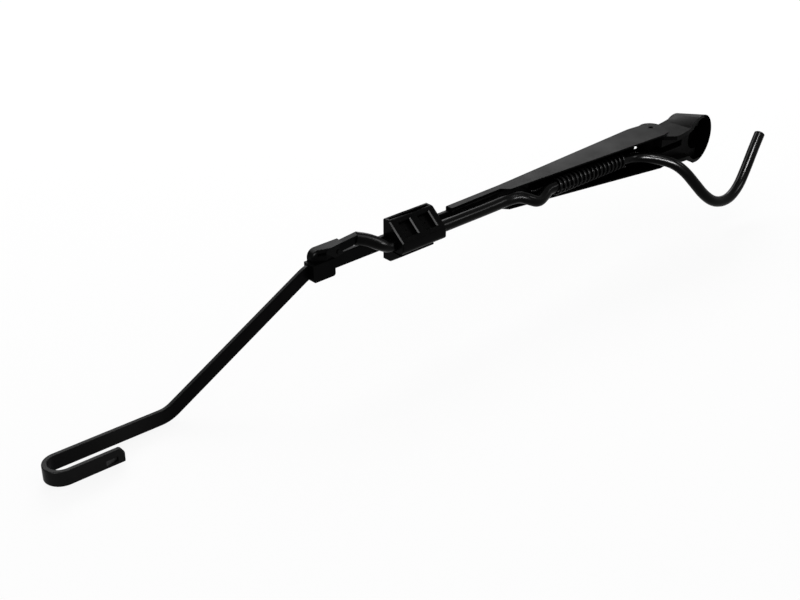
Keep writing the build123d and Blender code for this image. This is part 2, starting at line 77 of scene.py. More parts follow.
Point = tuple[float, float, float]
FaceTest = Callable[[Vector, Vector], bool]


class Body(Enum):
    """The two bodies of the arm, on either side of its hinge."""

    HEAD = "head"
    ARM = "arm"


class Slot(Enum):
    """The record's material slots."""

    COAT = "black_coat"
    STEEL = "pin_steel"
    WIRE = "spring_wire"
    RUBBER = "hose_rubber"
    PLASTIC = "black_plastic"
    JET = "jet_plastic"


class Grain(Enum):
    """The kinds of fine relief that a finish may carry."""

    PEEL = "orange_peel"
    CAST = "cast_skin"
    MOULD = "mould_texture"
    DRAWN = "drawn_lines"


def metres(point: Point) -> Vector:
    """A point given in millimetres, as a vector in metres."""
    return Vector(point) * MM


def everything(mesh: bmesh.types.BMesh) -> list:
    """All vertices, edges and faces of a mesh."""
    return mesh.verts[:] + mesh.edges[:] + mesh.faces[:]


def ease(mesh: bmesh.types.BMesh, edges: list[bmesh.types.BMEdge], width: float, rings: int,
         slide: bool = False) -> None:
    """Rounds some edges of a mesh.

    Args:
        mesh: The mesh.
        edges: The edges that are rounded.
        width: How far each is eased, in millimetres.
        rings: How many faces go round an eased edge.
        slide: Whether the new edges rather slide along the old ones than keep an even width.
    """
    bmesh.ops.bevel(mesh, geom=edges, offset=width * MM, offset_type="OFFSET", segments=rings,
                    profile=0.5, affect="EDGES", clamp_overlap=True, loop_slide=slide, material=-1)


def stand(name: str, mesh: bmesh.types.BMesh) -> bpy.types.Object:
    """Puts a finished mesh in the scene as an object.

    Args:
        name: The object's name.
        mesh: The mesh, which is freed.

    Returns:
        The object.
    """
    data = bpy.data.meshes.new(name)
    mesh.to_mesh(data)
    mesh.free()
    thing = bpy.data.objects.new(name, data)
    bpy.context.scene.collection.objects.link(thing)
    return thing


@dataclass(frozen=True)
class GrainNoise:
    """How fine and how rough the noise of a relief is."""

    detail: float
    roughness: float


GRAIN_NOISE = {
    Grain.PEEL: GrainNoise(detail=1.0, roughness=0.4),
    Grain.CAST: GrainNoise(detail=4.0, roughness=0.65),
    Grain.MOULD: GrainNoise(detail=4.0, roughness=0.55),
    Grain.DRAWN: GrainNoise(detail=2.0, roughness=0.4),
}


class Effects:
    """Shader node groups that several finishes share, each built once."""

    drawn_stretch: Point = (0.04, 1.0, 1.0)
    patch_detail: float = 5.0
    patch_low: float = 0.3
    patch_high: float = 0.7

    def __init__(self) -> None:
        """Starts with no group built."""
        self._groups: dict[str, bpy.types.NodeTree] = {}

    def _blank(self, name: str, inputs: tuple[str, ...], output: str) -> bpy.types.NodeTree:
        """Makes an empty group with its sockets.

        Args:
            name: The group's name.
            inputs: Names of its float inputs. A Vector input comes first.
            output: Name of its float output.

        Returns:
            The new node group, with its input and output nodes.
        """
        tree = bpy.data.node_groups.new(name, "ShaderNodeTree")
        tree.interface.new_socket("Vector", in_out="INPUT", socket_type="NodeSocketVector")
        for label in inputs:
            tree.interface.new_socket(label, in_out="INPUT", socket_type="NodeSocketFloat")
        tree.interface.new_socket(output, in_out="OUTPUT", socket_type="NodeSocketFloat")
        tree.nodes.new("NodeGroupInput")
        tree.nodes.new("NodeGroupOutput")
        self._groups[name] = tree
        return tree

    def relief(self, kind: Grain) -> bpy.types.NodeTree:
        """The height of a fine relief, such as orange peel or a mould's texture.

        Args:
            kind: Which relief is wanted.

        Returns:
            A group with inputs Vector and Scale and the output Height.
        """
        if kind.value in self._groups:
            return self._groups[kind.value]
        tree = self._blank(kind.value, ("Scale",), "Height")
        nodes, links = tree.nodes, tree.links
        source, sink = nodes["Group Input"], nodes["Group Output"]
        vector = source.outputs["Vector"]
        if kind is Grain.DRAWN:
            stretch = nodes.new("ShaderNodeMapping")
            stretch.inputs["Scale"].default_value = self.drawn_stretch
            links.new(vector, stretch.inputs["Vector"])
            vector = stretch.outputs["Vector"]
        noise = nodes.new("ShaderNodeTexNoise")
        noise.inputs["Detail"].default_value = GRAIN_NOISE[kind].detail
        noise.inputs["Roughness"].default_value = GRAIN_NOISE[kind].roughness
        links.new(vector, noise.inputs["Vector"])
        links.new(source.outputs["Scale"], noise.inputs["Scale"])
        height = noise.outputs["Fac"]
        if kind is Grain.MOULD:
            cells = nodes.new("ShaderNodeTexVoronoi")
            links.new(vector, cells.inputs["Vector"])
            links.new(source.outputs["Scale"], cells.inputs["Scale"])
            blend = nodes.new("ShaderNodeMath")
            blend.operation = "MULTIPLY"
            links.new(height, blend.inputs[0])
            links.new(cells.outputs["Distance"], blend.inputs[1])
            height = blend.outputs[0]
        links.new(height, sink.inputs["Height"])
        return tree

    def patches(self) -> bpy.types.NodeTree:
        """Slow patches of gloss or tone, as handling and age leave on a dark surface.

        Returns:
            A group with inputs Vector, Scale, Low and High and the output Value.
        """
        if "patches" in self._groups:
            return self._groups["patches"]
        tree = self._blank("patches", ("Scale", "Low", "High"), "Value")
        nodes, links = tree.nodes, tree.links
        source, sink = nodes["Group Input"], nodes["Group Output"]
        noise = nodes.new("ShaderNodeTexNoise")
        noise.inputs["Detail"].default_value = self.patch_detail
        spread = nodes.new("ShaderNodeMapRange")
        spread.inputs["From Min"].default_value = self.patch_low
        spread.inputs["From Max"].default_value = self.patch_high
        links.new(source.outputs["Vector"], noise.inputs["Vector"])
        links.new(source.outputs["Scale"], noise.inputs["Scale"])
        links.new(noise.outputs["Fac"], spread.inputs["Value"])
        links.new(source.outputs["Low"], spread.inputs["To Min"])
        links.new(source.outputs["High"], spread.inputs["To Max"])
        links.new(spread.outputs["Result"], sink.inputs["Value"])
        return tree


EFFECTS = Effects()
MADE: dict[str, bpy.types.Material] = {}
PATCH_SCALE = 70.0
TONE_SCALE = 2.7 * PATCH_SCALE
BUMP_STRENGTH = 0.6


@dataclass(frozen=True)
class Finish:
    """One surface finish, from its colour to its fine relief.

    The colour wanders between dark and light and the roughness between the two values of
    gloss. Where a finish has a painted light colour, its colour goes over to that one between
    two stations along the arm, as painted light.
    """

    name: str
    dark: Point
    light: Point
    gloss: tuple[float, float]
    specular: float
    grain: Grain
    grain_scale: float
    grain_depth: float
    painted_light_colour: Point | None = None
    painted_light_from: float = 0.0
    painted_light_to: float = 0.0

    @staticmethod
    def _place(tree: bpy.types.NodeTree, effect: bpy.types.NodeTree, where: bpy.types.NodeSocket,
               values: dict[str, float]) -> bpy.types.NodeSocket:
        """Places a shared effect in a material.

        Args:
            tree: The material's nodes.
            effect: The effect's group.
            where: The coordinates that it reads.
            values: The values of its other inputs.

        Returns:
            The effect's output.
        """
        node = tree.nodes.new("ShaderNodeGroup")
        node.node_tree = effect
        for label, value in values.items():
            node.inputs[label].default_value = value
        tree.links.new(where, node.inputs["Vector"])
        return node.outputs[0]

    def _colour(self, tree: bpy.types.NodeTree, where: bpy.types.NodeSocket) -> bpy.types.NodeSocket:
        """Mixes the finish's colour.

        Args:
            tree: The material's nodes.
            where: The coordinates that the colour follows.

        Returns:
            The colour.
        """
        nodes, links = tree.nodes, tree.links
        tone = self._place(tree, EFFECTS.patches(), where,
                           {"Scale": TONE_SCALE, "Low": 0.0, "High": 1.0})
        mix = nodes.new("ShaderNodeMix")
        mix.data_type = "RGBA"
        mix.inputs["A"].default_value = (*self.dark, 1.0)
        mix.inputs["B"].default_value = (*self.light, 1.0)
        links.new(tone, mix.inputs["Factor"])
        if not self.painted_light_colour:
            return mix.outputs["Result"]
        # Painted light: between the two stations the colour goes over to the lighter one.
        station = nodes.new("ShaderNodeSeparateXYZ")
        reach = nodes.new("ShaderNodeMapRange")
        reach.inputs["From Min"].default_value = self.painted_light_from * MM
        reach.inputs["From Max"].default_value = self.painted_light_to * MM
        painted_lift = nodes.new("ShaderNodeMix")
        painted_lift.data_type = "RGBA"
        painted_lift.inputs["B"].default_value = (*self.painted_light_colour, 1.0)
        links.new(where, station.inputs["Vector"])
        links.new(station.outputs["X"], reach.inputs["Value"])
        links.new(reach.outputs["Result"], painted_lift.inputs["Factor"])
        links.new(mix.outputs["Result"], painted_lift.inputs["A"])
        return painted_lift.outputs["Result"]

    def material(self) -> bpy.types.Material:
        """The finish as a procedural material, built at its first use.

        Returns:
            The material.
        """
        if self.name in MADE:
            return MADE[self.name]
        made = bpy.data.materials.new(self.name)
        MADE[self.name] = made
        made.use_nodes = True
        tree = made.node_tree
        shader = tree.nodes["Principled BSDF"]
        shader.inputs["Specular IOR Level"].default_value = self.specular
        where = tree.nodes.new("ShaderNodeTexCoord").outputs["Object"]
        low, high = self.gloss
        gloss = self._place(tree, EFFECTS.patches(), where,
                            {"Scale": PATCH_SCALE, "Low": low, "High": high})
        tree.links.new(gloss, shader.inputs["Roughness"])
        tree.links.new(self._colour(tree, where), shader.inputs["Base Color"])
        height = self._place(tree, EFFECTS.relief(self.grain), where, {"Scale": self.grain_scale})
        bump = tree.nodes.new("ShaderNodeBump")
        bump.inputs["Distance"].default_value = self.grain_depth * MM
        bump.inputs["Strength"].default_value = BUMP_STRENGTH
        tree.links.new(height, bump.inputs["Height"])
        tree.links.new(bump.outputs["Normal"], shader.inputs["Normal"])
        return made


PRESSED_COAT = Finish(
    "pressed_coat", dark=(0.0008, 0.0008, 0.0009), light=(0.0015, 0.0015, 0.0015),
    gloss=(0.3, 0.38), specular=0.012, grain=Grain.PEEL, grain_scale=700.0, grain_depth=0.012)
CAST_COAT = Finish(
    "cast_coat", dark=(0.001, 0.001, 0.001), light=(0.002, 0.002, 0.002),
    gloss=(0.34, 0.44), specular=0.012, grain=Grain.CAST, grain_scale=900.0, grain_depth=0.03)
# Painted light: the bar's colour goes lighter from -456 to -488 mm, towards the hook.
BAR_COAT = Finish(
    "bar_coat", dark=(0.0008, 0.0008, 0.0009), light=(0.0015, 0.0015, 0.0015),
    gloss=(0.3, 0.38), specular=0.016, grain=Grain.PEEL, grain_scale=800.0, grain_depth=0.012,
    painted_light_colour=(0.0065, 0.0065, 0.0065), painted_light_from=-456.0, painted_light_to=-488.0)
BLACKED_STEEL = Finish(
    "blacked_steel", dark=(0.002, 0.002, 0.002), light=(0.004, 0.004, 0.004),
    gloss=(0.28, 0.4), specular=0.02, grain=Grain.DRAWN, grain_scale=1500.0, grain_depth=0.01)
SPRING_STEEL = Finish(
    "spring_steel", dark=(0.002, 0.002, 0.0021), light=(0.004, 0.004, 0.004),
    gloss=(0.2, 0.3), specular=0.05, grain=Grain.DRAWN, grain_scale=2000.0, grain_depth=0.008)
SMOOTH_RUBBER = Finish(
    "smooth_rubber", dark=(0.0006, 0.0006, 0.0006), light=(0.0013, 0.0013, 0.0013),
    gloss=(0.18, 0.25), specular=0.028, grain=Grain.PEEL, grain_scale=500.0, grain_depth=0.004)
MOULDED = Finish(
    "moulded_plastic", dark=(0.0006, 0.0006, 0.0007), light=(0.0012, 0.0012, 0.0012),
    gloss=(0.26, 0.34), specular=0.016, grain=Grain.MOULD, grain_scale=2200.0, grain_depth=0.008)
JET_MOULDED = Finish(
    "jet_moulding", dark=(0.0008, 0.0008, 0.0008), light=(0.0015, 0.0015, 0.0015),
    gloss=(0.3, 0.4), specular=0.015, grain=Grain.MOULD, grain_scale=3000.0, grain_depth=0.004)
# Painted shade: a darker copy of the coat with no gloss, for faces that lie in shade.
SHADE_PAINTED_COAT = Finish(
    "shade_painted_coat", dark=(0.0004, 0.0004, 0.0004), light=(0.0009, 0.0009, 0.0009),
    gloss=(0.45, 0.6), specular=0.0, grain=Grain.CAST, grain_scale=900.0, grain_depth=0.02)
# A lighter steel colour for the detent's ramp.
RAMP_LIGHTER_STEEL = Finish(
    "ramp_lighter_steel", dark=(0.02, 0.02, 0.02), light=(0.05, 0.05, 0.05),
    gloss=(0.3, 0.45), specular=0.05, grain=Grain.DRAWN, grain_scale=1500.0, grain_depth=0.01)
# Painted sheen: lighter, glossier copies of the coat and of the moulding for the faces on the back of
# the arm.
BACK_PAINTED_SHEEN_COAT = Finish(
    "back_painted_sheen_coat", dark=(0.003, 0.003, 0.003), light=(0.006, 0.006, 0.006),
    gloss=(0.28, 0.42), specular=0.12, grain=Grain.PEEL, grain_scale=700.0, grain_depth=0.012)
BACK_PAINTED_SHEEN_MOULDED = Finish(
    "back_painted_sheen_plastic", dark=(0.004, 0.004, 0.004), light=(0.007, 0.007, 0.007),
    gloss=(0.35, 0.45), specular=0.1, grain=Grain.MOULD, grain_scale=2200.0, grain_depth=0.008)
# Painted shade: a darker copy of the rubber with almost no gloss, for the bore of the hose's open end.
BORE_PAINTED_SHADE = Finish(
    "bore_painted_shade", dark=(0.0005, 0.0005, 0.0005), light=(0.001, 0.001, 0.001),
    gloss=(0.5, 0.65), specular=0.003, grain=Grain.PEEL, grain_scale=500.0, grain_depth=0.01)


def dress_node(node: str, finish: Finish) -> None:
    """Gives a CAD node the finish of the piece that stands for it.

    Args:
        node: The CAD node.
        finish: The piece's finish.
    """
    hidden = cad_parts[node].data.materials
    hidden.clear()
    hidden.append(finish.material())


@dataclass
class Studio:
    """Camera, floor, world and lamps round the arm, and the points that the lamps face."""

    eye: Point = (-708.8, -452.15, 299.46)
    azimuth: float = -42.22
    elevation: float = 28.73
    lens: float = 50.0
    sensor: float = 36.0
    floor_gap: float = 0.6
    floor_half: float = 6.0
    paper: Point = (0.85, 0.85, 0.85)
    shade: float = 0.12
    room_light: float = 0.8
    middle: Point = (-240.0, 0.0, 0.0)
    tail: Point = (-20.0, -20.0, -20.0)
    block: Point = (-290.0, 0.0, 5.0)
    hook: Point = (-470.0, 0.0, -40.0)

    def camera(self) -> None:
        """Stands the camera where the photograph was taken from."""
        data = bpy.data.cameras.new("camera")
        data.lens = self.lens
        data.sensor_width = self.sensor
        camera = bpy.data.objects.new("camera", data)
        bpy.context.scene.collection.objects.link(camera)
        turn, rise = math.radians(self.azimuth), math.radians(self.elevation)
        flat = math.cos(rise)
        back = Vector((math.sin(turn) * flat, -math.cos(turn) * flat, math.sin(rise)))
        camera.location = metres(self.eye)
        camera.rotation_mode = "QUATERNION"
        camera.rotation_quaternion = (-back).to_track_quat("-Z", "Y")
        bpy.context.scene.camera = camera

    @staticmethod
    def _seen(tree: bpy.types.NodeTree) -> bpy.types.NodeSocket:
        """A value of 1 where a ray comes from the camera, a gloss or glass, and 0 for soft light.

        Args:
            tree: The node tree that gets the nodes.

        Returns:
            The socket that carries the value.
        """
        path = tree.nodes.new("ShaderNodeLightPath")
        seen = path.outputs["Is Camera Ray"]
        for label in ("Is Glossy Ray", "Is Transmission Ray"):
            join = tree.nodes.new("ShaderNodeMath")
            join.operation = "MAXIMUM"
            tree.links.new(seen, join.inputs[0])
            tree.links.new(path.outputs[label], join.inputs[1])
            seen = join.outputs[0]
        return seen

    def floor(self) -> None:
        """Lays a white floor that keeps a faint shadow of the arm."""
        mesh = bmesh.new()
        bmesh.ops.create_grid(mesh, x_segments=1, y_segments=1, size=self.floor_half)
        level = CAD_BOX[0].z - self.floor_gap * MM
        bmesh.ops.translate(mesh, verts=mesh.verts, vec=(0.0, 0.0, level))
        floor = stand("floor", mesh)

        white = bpy.data.materials.new("floor_white")
        white.use_nodes = True
        tree = white.node_tree
        tree.nodes.remove(tree.nodes["Principled BSDF"])
        paper = tree.nodes.new("ShaderNodeBsdfDiffuse")
        paper.inputs["Color"].default_value = (*self.paper, 1.0)
        glow = tree.nodes.new("ShaderNodeEmission")
        keep = tree.nodes.new("ShaderNodeMath")
        keep.operation = "MULTIPLY"
        keep.inputs[1].default_value = 1.0 - self.shade
        blend = tree.nodes.new("ShaderNodeMixShader")
        tree.links.new(self._seen(tree), keep.inputs[0])
        tree.links.new(keep.outputs[0], blend.inputs["Fac"])
        tree.links.new(paper.outputs["BSDF"], blend.inputs[1])
        tree.links.new(glow.outputs["Emission"], blend.inputs[2])
        tree.links.new(blend.outputs["Shader"], tree.nodes["Material Output"].inputs["Surface"])
        floor.data.materials.append(white)

    def world(self) -> None:
        """A white room: plain to the eye and to gloss, softer as light."""
        world = bpy.data.worlds.new("studio")
        world.use_nodes = True
        bpy.context.scene.world = world
        tree = world.node_tree
        level = tree.nodes.new("ShaderNodeMapRange")
        level.inputs["To Min"].default_value = self.room_light
        level.inputs["To Max"].default_value = 1.0
        tree.links.new(self._seen(tree), level.inputs["Value"])
        sky = tree.nodes["Background"]
        sky.inputs["Color"].default_value = (1.0, 1.0, 1.0, 1.0)
        tree.links.new(level.outputs["Result"], sky.inputs["Strength"])

    @staticmethod
    def lamp(name: str, aim: Point, place: Point, size: tuple[float, float], radiance: float,
             roll: float = 0.0, soft: bool = False) -> None:
        """Hangs one area lamp.

        Args:
            name: The lamp's name.
            aim: The point it faces, in millimetres.
            place: Where it hangs, in millimetres.
            size: Its width and height, in metres.
            radiance: How bright its face is.
            roll: How far its width is turned from level, in degrees.
            soft: Whether it lights matt surfaces too. The others only show in gloss.
        """
        data = bpy.data.lights.new(name, "AREA")
        data.shape = "RECTANGLE"
        data.size, data.size_y = size
        data.energy = radiance * math.pi * size[0] * size[1]
        lamp = bpy.data.objects.new(name, data)
        lamp.visible_diffuse = soft
        lamp.location = metres(place)
        facing = (metres(place) - metres(aim)).to_track_quat("Z", "Y")
        lamp.rotation_mode = "QUATERNION"
        lamp.rotation_quaternion = facing @ Quaternion((0.0, 0.0, 1.0), math.radians(roll))
        bpy.context.scene.collection.objects.link(lamp)

    @staticmethod
    def keep_to(lamps: tuple[str, ...], pieces: tuple[str, ...]) -> None:
        """Lets some lamps light a few pieces only, as a narrow beam does.

        Args:
            lamps: Names of the lamps.
            pieces: Names of the pieces that they light.
        """
        lit = bpy.data.collections.new("lit_by_" + lamps[0])
        for name in pieces:
            lit.objects.link(bpy.data.objects[name])
        for name in lamps:
            bpy.data.objects[name].light_linking.receiver_collection = lit

    def build(self) -> None:
        """Builds the whole studio."""
        bpy.context.scene.view_settings.view_transform = "Standard"
        self.camera()
        self.floor()
        self.world()
        self.lamp("back_softbox", self.middle, (460.0, 1095.0, 806.0), size=(1.45, 0.5),
                  radiance=6.0, roll=23.7, soft=True)
        self.lamp("hook_softbox", self.hook, (-380.0, 1180.0, 960.0), size=(1.0, 0.5), radiance=13.0)
        self.lamp("front_gleam", self.tail, (-570.0, -1290.0, 540.0), size=(0.6, 0.35), radiance=420.0)
        self.lamp("top_gleam", self.tail, (-385.0, -560.0, 1316.0), size=(0.35, 0.35), radiance=380.0)
        self.lamp("side_gleam", self.middle, (690.0, -880.0, 800.0), size=(0.2, 0.35), radiance=40.0)
        self.lamp("link_softbox", self.block, (480.0, -760.0, 880.0), size=(0.7, 1.7), radiance=11.0)
        self.lamp("link_gleam", self.block, (673.0, -1116.0, 190.0), size=(0.3, 0.3), radiance=70.0)
        self.lamp("left_gleam", self.block, (-1353.0, -318.0, 852.0), size=(0.5, 0.5), radiance=120.0)
        LOG.info("studio")


class SubAssembly:
    """What every sub-assembly does with its pieces."""

    body: Body = Body.ARM
    outer_facing: float = 0.75

    @staticmethod
    def plain_copy(node: str, edge: float, fold: float = 32.0, rings: int = 3,
                   shortest: float = 0.0) -> bpy.types.Object:
        """Copies a CAD node as a smooth piece whose outer edges are eased.

        Args:
            node: The CAD node.
            edge: How far its sharp outer edges are eased, in millimetres, or 0 for none.
            fold: The angle between two faces, in degrees, from which their edge is sharp.
            rings: How many faces go round an eased edge.
            shortest: The length from which an edge is eased, in millimetres.

        Returns:
            The piece, with sharp edges only where it has a real fold.
        """
        mesh = bmesh.new()
        mesh.from_mesh(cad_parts[node].data)
        bmesh.ops.remove_doubles(mesh, verts=mesh.verts, dist=MERGE_WITHIN * MM)
        bmesh.ops.dissolve_limit(mesh, angle_limit=math.radians(FLAT_WITHIN),
                                 use_dissolve_boundaries=False, verts=mesh.verts, edges=mesh.edges)
        limit = math.radians(fold)
        if edge > 0.0:
            sharp = [line for line in mesh.edges
                     if line.is_manifold and line.is_convex and line.calc_face_angle(0.0) > limit
                     and line.calc_length() >= shortest * MM]
            ease(mesh, sharp, edge, rings, slide=True)
        for face in mesh.faces:
            face.smooth = True
        for line in mesh.edges:
            line.smooth = not line.is_manifold or line.calc_face_angle(0.0) < limit
        piece = stand(node + "_eased", mesh)
        even = piece.modifiers.new("even_shading", "WEIGHTED_NORMAL")
        even.keep_sharp = True
        return piece

    @staticmethod
    def line(piece: bpy.types.Object, finish: Finish, inside: FaceTest) -> None:
        """Gives some faces of a piece one more finish.

        Args:
            piece: The piece, which has its first finish already.
            finish: The finish of those faces.
            inside: Tells from a face's centre, in millimetres, and its normal whether it is one.
        """
        piece.data.materials.append(finish.material())
        last = len(piece.data.materials) - 1
        for face in piece.data.polygons:
            if inside(face.center / MM, face.normal):
                face.material_index = last

    def is_outer(self, _centre: Vector, normal: Vector) -> bool:
        """Tells whether a face looks away from the glass, on the back of the arm, where painted sheen
        goes.
        """
        return normal.y > self.outer_facing

    def take_over(self, piece: bpy.types.Object, node: str, finish: Finish, slot: Slot,
                  stretch: tuple[Point, Point] | None = None) -> bpy.types.Object:
        """Puts a piece in a CAD node's place, with its finish.

        Args:
            piece: The piece.
            node: The CAD node that it stands for.
            finish: The piece's finish, which the node gets too.
            slot: The record's material slot. Not used.
            stretch: Where a piece that crosses the hinge leaves the arm and reaches the head. Only
                whether it is given is read: such a piece is baked in place and attached to no body.

        Returns:
            The piece.
        """
        piece.data.materials.append(finish.material())
        dress_node(node, finish)
        if stretch:
            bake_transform(piece)
        else:
            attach(piece, self.body.value)
        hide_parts(node)
        LOG.info("piece %s", piece.name)
        return piece

    def add_pair(self, name: str, mesh: bmesh.types.BMesh, finish: Finish, slot: Slot) -> None:
        """Adds a form that no CAD node has, with its mirror image on the arm's other side.

        Args:
            name: The new piece's name.
            mesh: The form on one side, which is freed.
            finish: The piece's finish.
            slot: The record's material slot. Not used.
        """
        bmesh.ops.mirror(mesh, geom=everything(mesh), merge_dist=0.0, axis="Z")
        bmesh.ops.recalc_face_normals(mesh, faces=mesh.faces)
        for face in mesh.faces:
            face.smooth = True
        pair = stand(name, mesh)
        pair.data.materials.append(finish.material())
        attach(pair, self.body.value)
        LOG.info("piece %s", pair.name)


@dataclass
class CastHead(SubAssembly):
    """The cast head on the spindle, with the pins that it carries."""

    rim_edge: float = 0.4
    pin_edge: float = 0.15
    cup_top_r: float = 10.9
    cup_mouth_r: float = 16.3
    cup_top: float = 14.4
    cup_mouth: float = -11.3
    cup_floor: float = 5.5
    hub_shade: float = -3.0
    rim_facing: float = -0.8
    rim_station: float = 3.0
    lug_size: Point = (10.1, 5.4, 6.1)
    lug_middle: Point = (-48.6, 8.6, -4.45)
    lug_edge: float = 1.0
    lug_rings: int = 3
    pin_at: tuple[float, float] = (-39.3, 6.9)
    dimple_r: float = 1.85
    dimple_from: float = 11.0
    pin_end_facing: float = 0.97
    body: Body = Body.HEAD

    @staticmethod
    def part_at(piece: bpy.types.Object, station: float) -> None:
        """Parts the faces of a piece at a station along the arm.

        Args:
            piece: The piece.
            station: Where its faces are parted, in millimetres.
        """
        mesh = bmesh.new()
        mesh.from_mesh(piece.data)
        bmesh.ops.bisect_plane(mesh, geom=everything(mesh), dist=CUT_WITHIN * MM,
                               plane_co=(station * MM, 0.0, 0.0), plane_no=(1.0, 0.0, 0.0))
        mesh.to_mesh(piece.data)
        mesh.free()

    def in_cup(self, centre: Vector, normal: Vector) -> bool:
        """Tells whether a face lies in the hollow of the bell or on the far part of its rim, where
        shade is painted.

        Args:
            centre: The face's centre.
            normal: Its normal.

        Returns:
            True for the cup's wall and floor, for the hub in it and for the far rim.
        """
        depth = (self.cup_top - centre.y) / (self.cup_top - self.cup_mouth)
        reach = self.cup_top_r + (self.cup_mouth_r - self.cup_top_r) * depth
        within = math.hypot(centre.x, centre.z) < reach and centre.y < self.cup_floor
        if normal.y > self.rim_facing:
            return within
        return within and centre.y > self.hub_shade or centre.x > self.rim_station

    def in_dimple(self, centre: Vector, normal: Vector) -> bool:
        """Tells whether a face lies in one of the dimples in the ends of the hinge's pin, where shade
        is painted.
        """
        near = math.hypot(centre.x - self.pin_at[0], centre.y - self.pin_at[1]) < self.dimple_r
        return near and abs(centre.z) > self.dimple_from and abs(normal.z) < self.pin_end_facing

    def boss_lugs(self) -> None:
        """Shapes the hinge boss's lugs, under the pressing's end beside the spring's hook, finished in
        painted shade.
        """
        mesh = bmesh.new()
        bmesh.ops.create_cube(mesh, size=MM)
        bmesh.ops.scale(mesh, vec=self.lug_size, verts=mesh.verts)
        ease(mesh, mesh.edges[:], self.lug_edge, self.lug_rings)
        bmesh.ops.translate(mesh, vec=metres(self.lug_middle), verts=mesh.verts)
        self.add_pair("boss_lugs", mesh, SHADE_PAINTED_COAT, Slot.COAT)

    def build(self) -> None:
        """Builds the casting with its lugs, the hinge's pin and washers, and the spring's pin."""
        casting = self.plain_copy("head", self.rim_edge)
        self.take_over(casting, "head", CAST_COAT, Slot.COAT)
        # The rim is parted at its station so that its far part can take painted shade, as the cup
        # does.
        self.part_at(casting, self.rim_station)
        self.line(casting, SHADE_PAINTED_COAT, self.in_cup)
        self.line(casting, BACK_PAINTED_SHEEN_COAT, self.is_outer)
        self.boss_lugs()
        pin = self.plain_copy("hinge_pin", self.pin_edge)
        self.take_over(pin, "hinge_pin", BLACKED_STEEL, Slot.STEEL)
        self.line(pin, SHADE_PAINTED_COAT, self.in_dimple)
        # The hinge's washers and the spring's pin get painted shade all over.
        for node in ("hinge_washers", "spring_pin"):
            self.take_over(self.plain_copy(node, self.pin_edge), node, SHADE_PAINTED_COAT, Slot.STEEL)


@dataclass
class PressedRetainer(SubAssembly):
    """The pressed channel over the spring, with its rivets."""

    sheet_edge: float = 0.3
    rivet_edge: float = 0.15
    web_level: float = 13.5
    web_facing: float = -0.7
    wall_facing: float = -0.5
    roll_r: float = 0.55
    roll_left: Point = (-241.9, 12.1, 4.45)
    roll_right: Point = (-197.4, 12.1, 5.05)
    roll_sides: int = 16
    roll_rings: int = 3
    roll_end_fold: float = 60.0

    def lip_rolls(self) -> None:
        """Rolls the edges of the two lips over the bar, one on each side of the neck."""
        left, right = metres(self.roll_left), metres(self.roll_right)
        radius = self.roll_r * MM
        mesh = bmesh.new()
        bmesh.ops.create_cone(mesh, cap_ends=True, segments=self.roll_sides, radius1=radius,
                              radius2=radius, depth=(right - left).length)
        ends = [line for line in mesh.edges
                if line.calc_face_angle(0.0) > math.radians(self.roll_end_fold)]
        ease(mesh, ends, self.roll_r / 2, self.roll_rings)
        turn = (right - left).to_track_quat("Z", "Y").to_matrix().to_4x4()
        place = Matrix.Translation((left + right) / 2) @ turn
        bmesh.ops.transform(mesh, matrix=place, verts=mesh.verts)
        self.add_pair("lip_rolls", mesh, PRESSED_COAT, Slot.COAT)

    def in_channel(self, centre: Vector, normal: Vector) -> bool:
        """Tells whether a face lines the channel, where shade is painted.

        Args:
            centre: The face's centre.
            normal: Its normal.

        Returns:
            True for the inner sides of the walls and of the web.
        """
        if normal.y < self.web_facing:
            return centre.y > self.web_level
        return normal.z * math.copysign(1.0, centre.z) < self.wall_facing

    def build(self) -> None:
        """Builds the pressing, its rolled lips and the rivets."""
        pressing = self.plain_copy("retainer", self.sheet_edge)
        self.take_over(pressing, "retainer", PRESSED_COAT, Slot.COAT)
        self.line(pressing, SHADE_PAINTED_COAT, self.in_channel)
        self.line(pressing, BACK_PAINTED_SHEEN_COAT, self.is_outer)
        self.lip_rolls()
        rivets = self.plain_copy("bar_rivets", self.rivet_edge)
        self.take_over(rivets, "bar_rivets", BLACKED_STEEL, Slot.STEEL)
        self.line(rivets, BACK_PAINTED_SHEEN_COAT, self.is_outer)


@dataclass
class HookBar(SubAssembly):
    """The flat bar with its J hook."""

    end_edge: float = 0.25
    end_fold: float = 40.0
    ramp_from: float = -515.0
    ramp_to: float = -495.0
    ramp_facing: float = -0.8
    ramp_lean: float = 0.15

    def on_ramp(self, centre: Vector, normal: Vector) -> bool:
        """Tells whether a face is the detent's ramp, which gets a lighter steel colour."""
        along = self.ramp_from < centre.x < self.ramp_to
        return along and normal.y < self.ramp_facing and normal.x > self.ramp_lean

    def build(self) -> None:
        """Builds the bar."""
        bar = self.plain_copy("bar", self.end_edge, fold=self.end_fold)
        self.take_over(bar, "bar", BAR_COAT, Slot.COAT)
        self.line(bar, RAMP_LIGHTER_STEEL, self.on_ramp)
        self.line(bar, BACK_PAINTED_SHEEN_COAT, self.is_outer)


@dataclass
class PullSpring(SubAssembly):
    """The tension spring round the hose, whose inner hook sits in the head; it is baked in place and
    attached to neither body.
    """

    wire_fold: float = 50.0
    hook_from: float = -72.0
    stretch: tuple[Point, Point] = ((-82.0, 0.0, 0.0), (-54.0, 0.0, 0.0))

    def in_head(self, centre: Vector, _normal: Vector) -> bool:
        """Tells whether a face is on the inner hook, where the head's shade is painted."""
        return centre.x > self.hook_from

    def build(self) -> None:
        """Builds the spring."""
        wire = self.plain_copy("spring", 0.0, fold=self.wire_fold)
        self.take_over(wire, "spring", SPRING_STEEL, Slot.WIRE, stretch=self.stretch)
        self.line(wire, SHADE_PAINTED_COAT, self.in_head)


